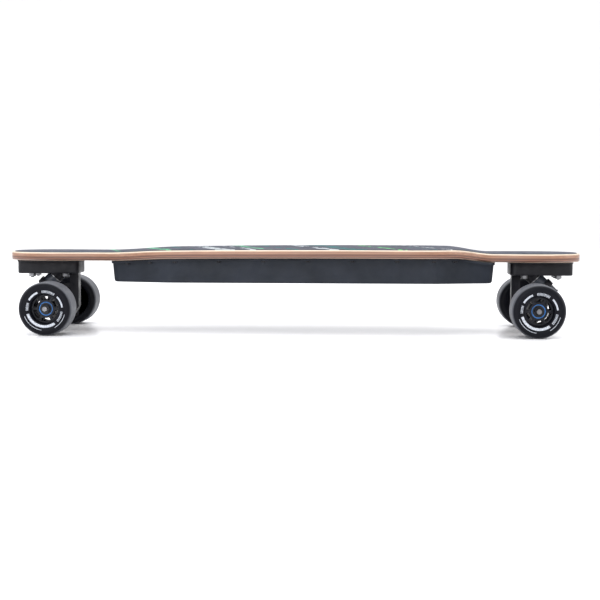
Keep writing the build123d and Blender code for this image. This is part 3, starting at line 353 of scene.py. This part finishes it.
def slab_mesh(name, outline_xy, thickness, rounding, lift, slot, replaces):
    """The slab's skin: quads round every section, and one cap across the last section at each tip."""
    points, share = slab(outline_xy, thickness, rounding, lift)
    rows, columns = share.shape
    skin = grid_faces(rows, columns, False, True)
    caps = [list(range(columns)), list(range((rows - 1) * columns, rows * columns))[::-1]]
    return build(name, points, skin.tolist() + caps, "board", slot, replaces, {"ply": share})


deck = slab_mesh("laminated_deck", outline, deck_thickness, EDGE_ROUND, 0, "deck_wood", ["deck"])
grip_outline = outline * (1 - GRIP_INSET / half_length, 1) - (0, GRIP_INSET)
grip = slab_mesh("grip_sheet", grip_outline, GRIP_THICKNESS - 1e-5, GRIP_THICKNESS * 0.4, deck_thickness + 1e-5, "grip",
                 ["grip_tape"])
print(deck.name, len(deck.data.polygons), "faces;", grip.name, len(grip.data.polygons), "faces")

# %% [markdown]
# The edge shows a pale face ply, then tan and red-brown inner plies, and a dusty pink one at the bottom.
# The stripes come from each point's share of the thickness, and long fine noise gives the grain along the board.

# %% Laminated wood
# Colours of the plies from the bottom up
PLY_COLOURS = [(.30, .20, .15), (.075, .03, .02), (.20, .085, .05), (.085, .034, .02), (.17, .075, .045),
               (.29, .155, .095), (.23, .11, .065), (.33, .20, .135), (.56, .48, .38)]


def laminated_wood():
    """Stripes by ply share, broken up by grain along X, under a thin satin lacquer."""
    material, tree, shader, place = new_material("laminated_wood")
    share = add_node(tree, "ShaderNodeAttribute", attribute_name="ply").outputs["Fac"]
    grain = noise(tree, place, 420, 5, (.03, 1, 1))
    wander = spread(tree, noise(tree, place, 60, 3, (.15, 1, 1)), -.012, .012)
    shifted = add_node(tree, "ShaderNodeMath", {0: share, 1: wander}, operation="ADD").outputs[0]
    stops = [(i / PLY_COUNT, colour) for i, colour in enumerate(PLY_COLOURS)]
    stripes = ramp(tree, shifted, stops, "CONSTANT")
    shade = ramp(tree, grain, [(.3, (.78, .76, .74)), (.7, (1.08, 1.06, 1.03))])
    mixed = add_node(tree, "ShaderNodeMix", data_type="RGBA", blend_type="MULTIPLY")
    mixed.inputs["Factor"].default_value = 1
    tree.links.new(stripes, mixed.inputs["A"])
    tree.links.new(shade, mixed.inputs["B"])
    tree.links.new(mixed.outputs["Result"], shader.inputs["Base Color"])
    tree.links.new(spread(tree, grain, .34, .5), shader.inputs["Roughness"])
    bump(tree, shader, grain, .00012)
    shader.inputs["Coat Weight"].default_value = .25
    shader.inputs["Coat Roughness"].default_value = .25
    return material


finishes["deck_wood"] = laminated_wood()

# %% [markdown]
# The grip sheet carries a generic pattern: small teal, mint and white shards over a hazy grey, which is painted sheen:
# the glare of grazing light on the grip laid into its colour. Each shard is a span along the board, slanted across it,
# whose edges
# Voronoi cells break up. Fine grit gives the tooth.

# %% Grip sheet with printed shards
# Painted sheen: a grey that stands for grazing glare on the grip, used as the base between the shards
SHEEN_GREY = (.075, .08, .10)
TEAL = (.03, .12, .12)
MINT = (.10, .32, .19)
LIME = (.10, .42, .14)
WHITE = (.42, .46, .48)
# (start, end, colour) of each shard along X in metres
SHARDS = [
    (-.296, -.288, MINT), (-.230, -.217, MINT), (-.190, -.184, TEAL), (-.152, -.128, WHITE), (-.098, -.092, WHITE),
    (-.076, -.067, MINT), (-.034, -.022, TEAL), (.020, .038, WHITE), (.050, .078, TEAL), (.130, .138, LIME),
    (.186, .191, TEAL), (.212, .217, WHITE),
]


def printed_grip():
    """Base of painted sheen grey with slanted shards: a constant ramp along the slanted X, kept where a Voronoi cell
    lets it.
    """
    material, tree, shader, place = new_material("printed_grip")
    cells = add_node(tree, "ShaderNodeTexVoronoi", {"Vector": place, "Scale": 70.0})
    cell = add_node(tree, "ShaderNodeSeparateColor", {"Color": cells.outputs["Color"]})
    parts = add_node(tree, "ShaderNodeSeparateXYZ", {"Vector": place})
    slant = add_node(tree, "ShaderNodeMath", {0: parts.outputs["Y"], 1: .35}, operation="MULTIPLY").outputs[0]
    leaned = add_node(tree, "ShaderNodeMath", {0: parts.outputs["X"], 1: slant}, operation="ADD").outputs[0]
    jitter = spread(tree, cell.outputs["Green"], -.004, .004, 0, 1)
    along = add_node(tree, "ShaderNodeMath", {0: leaned, 1: jitter}, operation="ADD").outputs[0]
    share = spread(tree, along, 0, 1, -half_length, half_length)
    stops = [(0, SHEEN_GREY)]
    for start, end, colour in SHARDS:
        stops += [(start / DECK_LENGTH + .5, colour), (end / DECK_LENGTH + .5, SHEEN_GREY)]
    print_colour = ramp(tree, share, stops, "CONSTANT")
    kept = ramp(tree, cell.outputs["Red"], [(.0, (0, 0, 0)), (.45, (1, 1, 1))], "CONSTANT")
    # The base is painted sheen, mottled darker by broad noise
    painted_sheen = ramp(tree, noise(tree, place, 14, 4), [(.35, (.05, .055, .07)), (.65, SHEEN_GREY)])
    mixed = add_node(tree, "ShaderNodeMix", data_type="RGBA")
    tree.links.new(kept, mixed.inputs["Factor"])
    tree.links.new(painted_sheen, mixed.inputs["A"])
    tree.links.new(print_colour, mixed.inputs["B"])
    tree.links.new(mixed.outputs["Result"], shader.inputs["Base Color"])
    grit = noise(tree, place, 2600, 2)
    tree.links.new(spread(tree, grit, .7, .95), shader.inputs["Roughness"])
    bump(tree, shader, grit, .0003, .9)
    shader.inputs["Specular IOR Level"].default_value = .1
    return material


finishes["grip"] = printed_grip()
print("deck and grip finishes ready")

# %% [markdown]
# ## Tyres
#
# A tyre is a profile spun round its axle: a flat tread, rounded lips, and sides that fall in towards the core. The
# same profile serves the three free wheels and, with a wider bore, the hub motor.

# %% Tyre profile and lathe
WHEEL_RADIUS = 0.0415
LIP_RADIUS = 0.008
SIDE_DISH = 0.002
CORE_RADIUS = 0.024
CORE_HALF = 0.015
SHELL_RADIUS = 0.03302


def tyre_profile(bore, bore_half, mouth, half_width, lip_steps=14):
    """(offset along the axle, radius) from the bore over the outer side, tread and inner side and back to the bore."""
    angle = np.linspace(0, np.pi / 2, lip_steps)
    corner = WHEEL_RADIUS - LIP_RADIUS
    lip = np.stack([half_width - LIP_RADIUS + LIP_RADIUS * np.cos(angle), corner + LIP_RADIUS * np.sin(angle)], axis=1)
    side = np.array([(bore_half, bore), (bore_half, mouth), (half_width - SIDE_DISH, mouth + .0015),
                     (half_width - SIDE_DISH * .4, corner - .004), (half_width - .0001, corner - .0012)])
    half = np.concatenate([side, lip])
    wear = np.linspace(half_width - LIP_RADIUS, LIP_RADIUS - half_width, 9)[1:-1]
    tread = np.stack([wear, np.full_like(wear, WHEEL_RADIUS)], axis=1)
    return np.concatenate([half, tread, half[::-1] * (-1, 1)])


def lathe(profile, centre, steps=144):
    """Spins (offset along Y, radius) pairs round the Y line through centre."""
    turn = np.linspace(0, 2 * np.pi, steps, endpoint=False)[:, None]
    offset, radius = profile.T
    x = centre[0] + radius * np.cos(turn)
    z = centre[2] + radius * np.sin(turn)
    return np.stack([x, centre[1] + offset + 0 * turn, z], axis=-1)


FREE_BORE = (CORE_RADIUS, CORE_HALF, CORE_RADIUS - .002)     # bore, its half width, and the mouth's radius
MOTOR_BORE = (SHELL_RADIUS, .022, SHELL_RADIUS + .0006)
wheels = {
    "front_left": ("front_left_tyre", "front_left_wheel", FREE_BORE),
    "front_right": ("front_right_tyre", "front_right_wheel", FREE_BORE),
    "rear_right": ("rear_right_tyre", "rear_right_wheel", FREE_BORE),
    "rear_left": ("motor_tyre", "motor_wheel", MOTOR_BORE),
}
centres = {}
for wheel, (node, body, bore) in wheels.items():
    low, high = np.array(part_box(node))
    centres[wheel] = (low + high) / 2
    half_width = (high[1] - low[1]) / 2 - 1e-5
    points = lathe(tyre_profile(*bore, half_width), centres[wheel])
    rows, columns = points.shape[:2]
    build(f"{wheel}_urethane_tyre", points, grid_faces(rows, columns, True, True), body, "tyre_urethane", [node])
print("tyres at", {wheel: centre.round(4).tolist() for wheel, centre in centres.items()})

# %% [markdown]
# Navy black urethane has a soft sheen and fine mould grain on its sides, and its tread is lifted to grey in fine bands,
# which is a painted highlight. Distance from the axle tells tread from side, and in a bearing it tells the dark shield
# from the blue rim round it.

# %% Urethane and bearing shields
AXLE_X = float(centres["front_right"][0])


def from_axle(tree, place):
    """Distance from the nearer axle's line, in metres: the axles cross the board at plus and minus AXLE_X."""
    parts = add_node(tree, "ShaderNodeSeparateXYZ", {"Vector": place}).outputs
    away = add_node(tree, "ShaderNodeMath", {0: parts["X"]}, operation="ABSOLUTE").outputs[0]
    run = add_node(tree, "ShaderNodeMath", {0: away, 1: AXLE_X}, operation="SUBTRACT").outputs[0]
    rise = add_node(tree, "ShaderNodeMath", {0: parts["Z"], 1: WHEEL_RADIUS}, operation="SUBTRACT").outputs[0]
    flat = add_node(tree, "ShaderNodeCombineXYZ", {"X": run, "Y": rise}).outputs[0]
    return add_node(tree, "ShaderNodeVectorMath", {0: flat}, operation="LENGTH").outputs["Value"]


def tyre_urethane():
    """Near-black blue sides, and a painted highlight that lifts the tread to grey in fine bands across the axle."""
    material, tree, shader, place = new_material("tyre_urethane")
    bands = noise(tree, place, 900, 3, (.05, 1, .05))
    fine = noise(tree, place, 1500, 2)
    tread = spread(tree, from_axle(tree, place), 0, 1, WHEEL_RADIUS - .0025, WHEEL_RADIUS - .0004)
    # Painted highlight: grey laid into the tread's colour where the bands run
    tread_highlight = add_node(tree, "ShaderNodeMath", {0: tread, 1: bands}, operation="MULTIPLY").outputs[0]
    tree.links.new(ramp(tree, tread_highlight, [(0, (.0016, .002, .0045)), (.6, (.10, .105, .12))]), shader.inputs["Base Color"])
    tree.links.new(spread(tree, bands, .38, .56), shader.inputs["Roughness"])
    grains = add_node(tree, "ShaderNodeMath", {0: fine, 1: bands}, operation="MULTIPLY").outputs[0]
    bump(tree, shader, grains, .00006)
    shader.inputs["Specular IOR Level"].default_value = .12
    return material


def shielded_bearing():
    """Dark pressed shield inside a bright blue rim, turned with fine rings."""
    material, tree, shader, place = new_material("shielded_bearing")
    radius = from_axle(tree, place)
    turned = noise(tree, place, 1200, 3)
    share = add_node(tree, "ShaderNodeMath", {0: radius, 1: .02}, operation="DIVIDE").outputs[0]
    tree.links.new(ramp(tree, share, [(0, (.008, .009, .012)), (.47, (.05, .22, .62)), (.62, (.02, .10, .34))],
                        "CONSTANT"), shader.inputs["Base Color"])
    tree.links.new(spread(tree, turned, .28, .42), shader.inputs["Roughness"])
    bump(tree, shader, turned, .00002)
    shader.inputs["Specular IOR Level"].default_value = .3
    return material


def printed_ink():
    """White pad-printed ink, slightly patchy."""
    material, tree, shader, place = new_material("printed_ink")
    patches = noise(tree, place, 500, 4)
    tree.links.new(ramp(tree, patches, [(.3, (.22, .24, .28)), (.6, (.50, .53, .58))]), shader.inputs["Base Color"])
    tree.links.new(spread(tree, patches, .35, .55), shader.inputs["Roughness"])
    bump(tree, shader, patches, .00003)
    return material


finishes["tyre_urethane"] = tyre_urethane()
finishes["bearing_blue"] = shielded_bearing()
finishes["ink"] = printed_ink()

# %% [markdown]
# The sides carry a printed ring of long arcs and a run of short bars, and a thin light arc lies low, just inside the
# lip.
# They are plain marks, laid as thin patches that follow the tyre's dished side.

# %% Printed marks on the free wheels
# (start degree, end degree, inner radius, outer radius, bars): bars splits the arc into that many short marks
# The last two rows are the thin light arc just inside the lip, drawn in the same white as the print
MARKS = [
    (196, 306, .0250, .0290, 1), (-42, -6, .0252, .0290, 9), (6, 44, .0264, .0290, 1), (56, 100, .0250, .0292, 11),
    (112, 150, .0260, .0290, 1), (160, 186, .0250, .0288, 6), (200, 262, .0322, .0329, 1), (-60, -14, .0322, .0329, 1),
]


def side_height(radius, half_width):
    """Offset along the axle of the tyre's side at a radius, read off its profile."""
    profile = tyre_profile(*FREE_BORE, half_width)[1:6]
    return np.interp(radius, profile[:, 1], profile[:, 0])


def mark_patches(centre, side, half_width, lift=.00004, steps=10, rings=4):
    """Every mark as a small grid in angle and radius on the tyre's side, lifted a hair off it."""
    patches = []
    for start, end, inner, outer, bars in MARKS:
        edges = np.linspace(start, end, 2 * bars + 1)[: 2 * bars].reshape(bars, 2) if bars > 1 else [(start, end)]
        for low, high in edges:
            turn = np.radians(np.linspace(low, high, steps))[:, None]
            radius = np.linspace(inner, outer, rings)[None, :]
            y = centre[1] + side * (side_height(radius, half_width) + lift) + 0 * turn
            patches.append(np.stack([centre[0] - side * radius * np.cos(turn),
                                     y, centre[2] + radius * np.sin(turn)], axis=-1))
    return np.array(patches)


for wheel, side in (("front_left", 1), ("front_right", -1), ("rear_right", -1)):
    node, body, _ = wheels[wheel]
    low, high = np.array(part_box(node))
    patches = mark_patches(centres[wheel], side, (high[1] - low[1]) / 2 - 1e-5)
    count, steps, rings = patches.shape[:3]
    quads = grid_faces(steps, rings, False, False)
    quads = (quads[None] + np.arange(count)[:, None, None] * steps * rings).reshape(-1, 4)
    marks = build(f"{wheel}_printed_marks", patches, quads, body, "tyre_urethane")
    marks.data.materials.append(finishes["ink"])
    marks.modifiers.new("ink", "SOLIDIFY").thickness = .00003
print("printed marks on three wheels")

# %% [markdown]
# ## Bushings
#
# Each kingpin carries two urethane bushings, squeezed between the hanger's ring and the board's washers. In a lean the
# ring end turns with the hanger and the other end stays with the board, so a real bushing bends from one to the other;
# these are built at rest and are attached to no body.
# Its bore is wider towards the ring, which leaves the kingpin clear at full lock.

# %% Bushings at rest round the kingpins
HANGER_RAKE = 0.005
RING_REACH = 0.038
BUSHING_SEAT = 0.0035
BUSHING_RADIUS = 0.0115
BUSHING_ROUND = 0.0012
BUSHING_BORE = 0.0049
BORE_FLARE = 0.0022
BOARDSIDE_HEIGHT = 0.0155
ROADSIDE_HEIGHT = 0.0140
HALF_ROOT = math.sqrt(0.5)     # both axes stand at 45 degrees


def bushing_profile(height, steps=9):
    """(offset from the ring, radius) round one half section: up the flared bore and back down the rounded outside."""
    share = np.linspace(0, 1, steps)
    bore = np.stack([share * height, BUSHING_BORE + BORE_FLARE * np.clip(2 * (1 - share), 0, 1)], axis=1)
    turn = np.linspace(0, np.pi / 2, steps)
    core = BUSHING_RADIUS - BUSHING_ROUND
    far = np.stack([height - BUSHING_ROUND * (1 - np.cos(turn)), core + BUSHING_ROUND * np.sin(turn)], axis=1)
    near = far[::-1] * (-1, 1) + (height, 0)
    side = np.linspace(far[-1], near[0], steps)[1:-1]
    return np.concatenate([bore, far, side, near])


def spin(profile, root, axis, across, steps=72):
    """Spins (offset along axis, radius) pairs round the line through root along axis."""
    turn = np.linspace(0, 2 * np.pi, steps, endpoint=False)[:, None, None]
    other = np.cross(axis, across)
    offset, radius = profile.T[:, None, :, None]
    return root + offset * axis + radius * (np.cos(turn) * across + np.sin(turn) * other)


for truck, side in (("front", 1), ("rear", -1)):
    along_steer = np.array([side * HALF_ROOT, 0, HALF_ROOT])
    along_kingpin = np.array([side * HALF_ROOT, 0, -HALF_ROOT])
    axle = np.array([side * AXLE_X, 0, WHEEL_RADIUS])
    ring = axle - HANGER_RAKE * along_kingpin + RING_REACH * along_steer
    for place, way, height in (("boardside", -1, BOARDSIDE_HEIGHT), ("roadside", 1, ROADSIDE_HEIGHT)):
        axis = way * along_kingpin
        root = ring + BUSHING_SEAT * axis
        points = spin(bushing_profile(height), root, axis, along_steer)
        rows, columns = points.shape[:2]
        bushing = build(f"{truck}_{place}_bushing", points, grid_faces(rows, columns, True, True), None,
                        "bushing_urethane", [f"{truck}_bushings"])
        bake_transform(bushing)
    print(truck, "bushings round", ring.round(4).tolist())

# %% [markdown]
# ## Softened castings and mouldings
#
# Cast, moulded and machined parts have no razor edges. A copy of the CAD mesh is merged, its flat triangles are joined
# into whole faces, and a small bevel rounds each sharp edge, which is what catches the light.

# %% Round the sharp edges of a part


def soften(node, body, slot, width, segments=3):
    """A copy of a CAD part whose edges sharper than 30 degrees are rounded to this width."""
    source = nodes[node]
    mesh = source.data.copy()
    mesh.name = f"{node}_soft"
    shape = bmesh.new()
    shape.from_mesh(mesh)
    bmesh.ops.remove_doubles(shape, verts=shape.verts, dist=1e-6)
    bmesh.ops.dissolve_limit(shape, angle_limit=math.radians(1), verts=shape.verts, edges=shape.edges)
    shape.to_mesh(mesh)
    shape.free()
    mesh.shade_smooth()
    piece = bpy.data.objects.new(f"{node}_soft", mesh)
    bpy.context.scene.collection.objects.link(piece)
    bevel = piece.modifiers.new("rounded edges", "BEVEL")
    bevel.width = width
    bevel.segments = segments
    bevel.limit_method = "ANGLE"
    bevel.angle_limit = math.radians(30)
    bevel.harden_normals = True
    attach(piece, body)
    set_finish(piece, slot)
    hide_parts(node)
    return piece


slot_of = {row["node"]: row["material_slot"] for row in frame["record"]["subparts"]}
softened = {
    "front_baseplate": ("board", .0008), "rear_baseplate": ("board", .0008),
    "front_hanger": ("front_truck", .0009), "rear_hanger": ("rear_truck", .0009),
    "enclosure_shell": ("board", .0009), "motor_outer_cover": ("motor_wheel", .0006),
    "motor_inner_cover": ("motor_wheel", .0006), "front_left_core": ("front_left_wheel", .0004),
    "front_right_core": ("front_right_wheel", .0004), "rear_right_core": ("rear_right_wheel", .0004),
    "kingpins": ("board", .0004), "kingpin_nuts": ("board", .0004), "front_axle_nuts": ("front_truck", .0004),
    "rear_axle_nuts": ("rear_truck", .0004), "riser_pads": ("board", .0004), "charge_cap": ("charge_cap", .0003),
}
for node, (body, width) in softened.items():
    soften(node, body, slot_of[node], width)
print(len(softened), "parts softened")

# %% [markdown]
# ## Dress every part
#
# Each part's slot names its finish. CAD parts that are still shown, and the copies, all take theirs here.

# %% Assign the finishes
dressed = 0
for piece in list(bpy.context.scene.objects):
    if piece.type != "MESH":
        continue
    node = piece.name.removesuffix("_soft")
    slot = piece.get("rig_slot") or slot_of.get(node)
    if slot in finishes and "printed_marks" not in piece.name:
        piece.data.materials.clear()
        piece.data.materials.append(finishes[slot])
        dressed += 1
print(dressed, "pieces dressed")

# %% [markdown]
# ## Studio
#
# The board stands on a pale floor with a soft sheen in front of a white backdrop, under one broad soft light with
# three fills. The camera is low and far off, with a long lens, a touch above the deck.

# %% Floor, lights and camera


def pale_floor():
    """Near-white floor with a soft sheen and the faintest mottling."""
    material, tree, shader, place = new_material("pale_floor")
    mottle = noise(tree, place, 3, 3)
    tree.links.new(ramp(tree, mottle, [(.3, (.93, .93, .95)), (.7, (.95, .95, .965))]), shader.inputs["Base Color"])
    tree.links.new(spread(tree, mottle, .16, .24), shader.inputs["Roughness"])
    return material


def backdrop_sweep(depth=6.0, height=4.0, bend=1.5, width=14.0, steps=24):
    """Floor that curves up into a wall: a flat run, a quarter circle of radius bend, and a straight rise."""
    turn = np.linspace(0, np.pi / 2, steps)
    y = np.concatenate([[-6.0], depth - bend + bend * np.sin(turn), [depth]])
    z = np.concatenate([[0.0], bend * (1 - np.cos(turn)), [height]])
    x = np.array([-width / 2, width / 2])
    return np.stack(np.broadcast_arrays(x[:, None], y[None], z[None]), axis=-1)


sweep = backdrop_sweep()
floor_mesh = bpy.data.meshes.new("studio_floor")
floor_mesh.from_pydata(sweep.reshape(-1, 3).tolist(), [], grid_faces(*sweep.shape[:2], False, False).tolist())
floor_mesh.shade_smooth()
floor = bpy.data.objects.new("studio_floor", floor_mesh)
floor_mesh.materials.append(pale_floor())
bpy.context.scene.collection.objects.link(floor)


def area_light(name, place, aim, size, power, colour=(1, 1, 1)):
    """A square softbox at a place, turned to face the aim."""
    lamp = bpy.data.lights.new(name, "AREA")
    lamp.size = size
    lamp.energy = power
    lamp.color = colour
    light = bpy.data.objects.new(name, lamp)
    light.location = place
    direction = np.array(aim) - np.array(place)
    light.rotation_euler = Vector(direction.tolist()).to_track_quat("-Z", "Y").to_euler()
    bpy.context.scene.collection.objects.link(light)
    return light


area_light("overhead_softbox", (0, .2, 2.6), (0, 0, 0), 3.0, 95, (1, 1, 1))
area_light("front_fill", (-.6, -3.0, 1.1), (0, 0, .08), 1.6, 34, (.95, .97, 1))
area_light("left_fill", (-2.6, -.6, 1.0), (0, 0, .08), 1.2, 22, (.93, .94, 1))
area_light("right_fill", (2.6, -.6, 1.0), (0, 0, .08), 1.2, 22, (1, .97, .95))

world = bpy.data.worlds.new("white_surround")
world.use_nodes = True
world.node_tree.nodes["Background"].inputs["Color"].default_value = (1, 1, 1, 1)
world.node_tree.nodes["Background"].inputs["Strength"].default_value = 1.0
bpy.context.scene.world = world
bpy.context.scene.view_settings.view_transform = "Standard"

CAMERA_PLACE = (0.1026, -2.287, 0.2150)
YAW = 0.0407
PITCH = -0.0725
ROLL = -0.0026
FOCAL_WIDTHS = 1413 / 600
lens = bpy.data.cameras.new("camera")
lens.sensor_width = 36
lens.lens = 36 * FOCAL_WIDTHS
camera = bpy.data.objects.new("camera", lens)
camera.location = CAMERA_PLACE
camera.rotation_mode = "XYZ"
camera.rotation_euler = (math.pi / 2 + PITCH, ROLL, YAW)
bpy.context.scene.collection.objects.link(camera)
bpy.context.scene.camera = camera
print("studio ready")
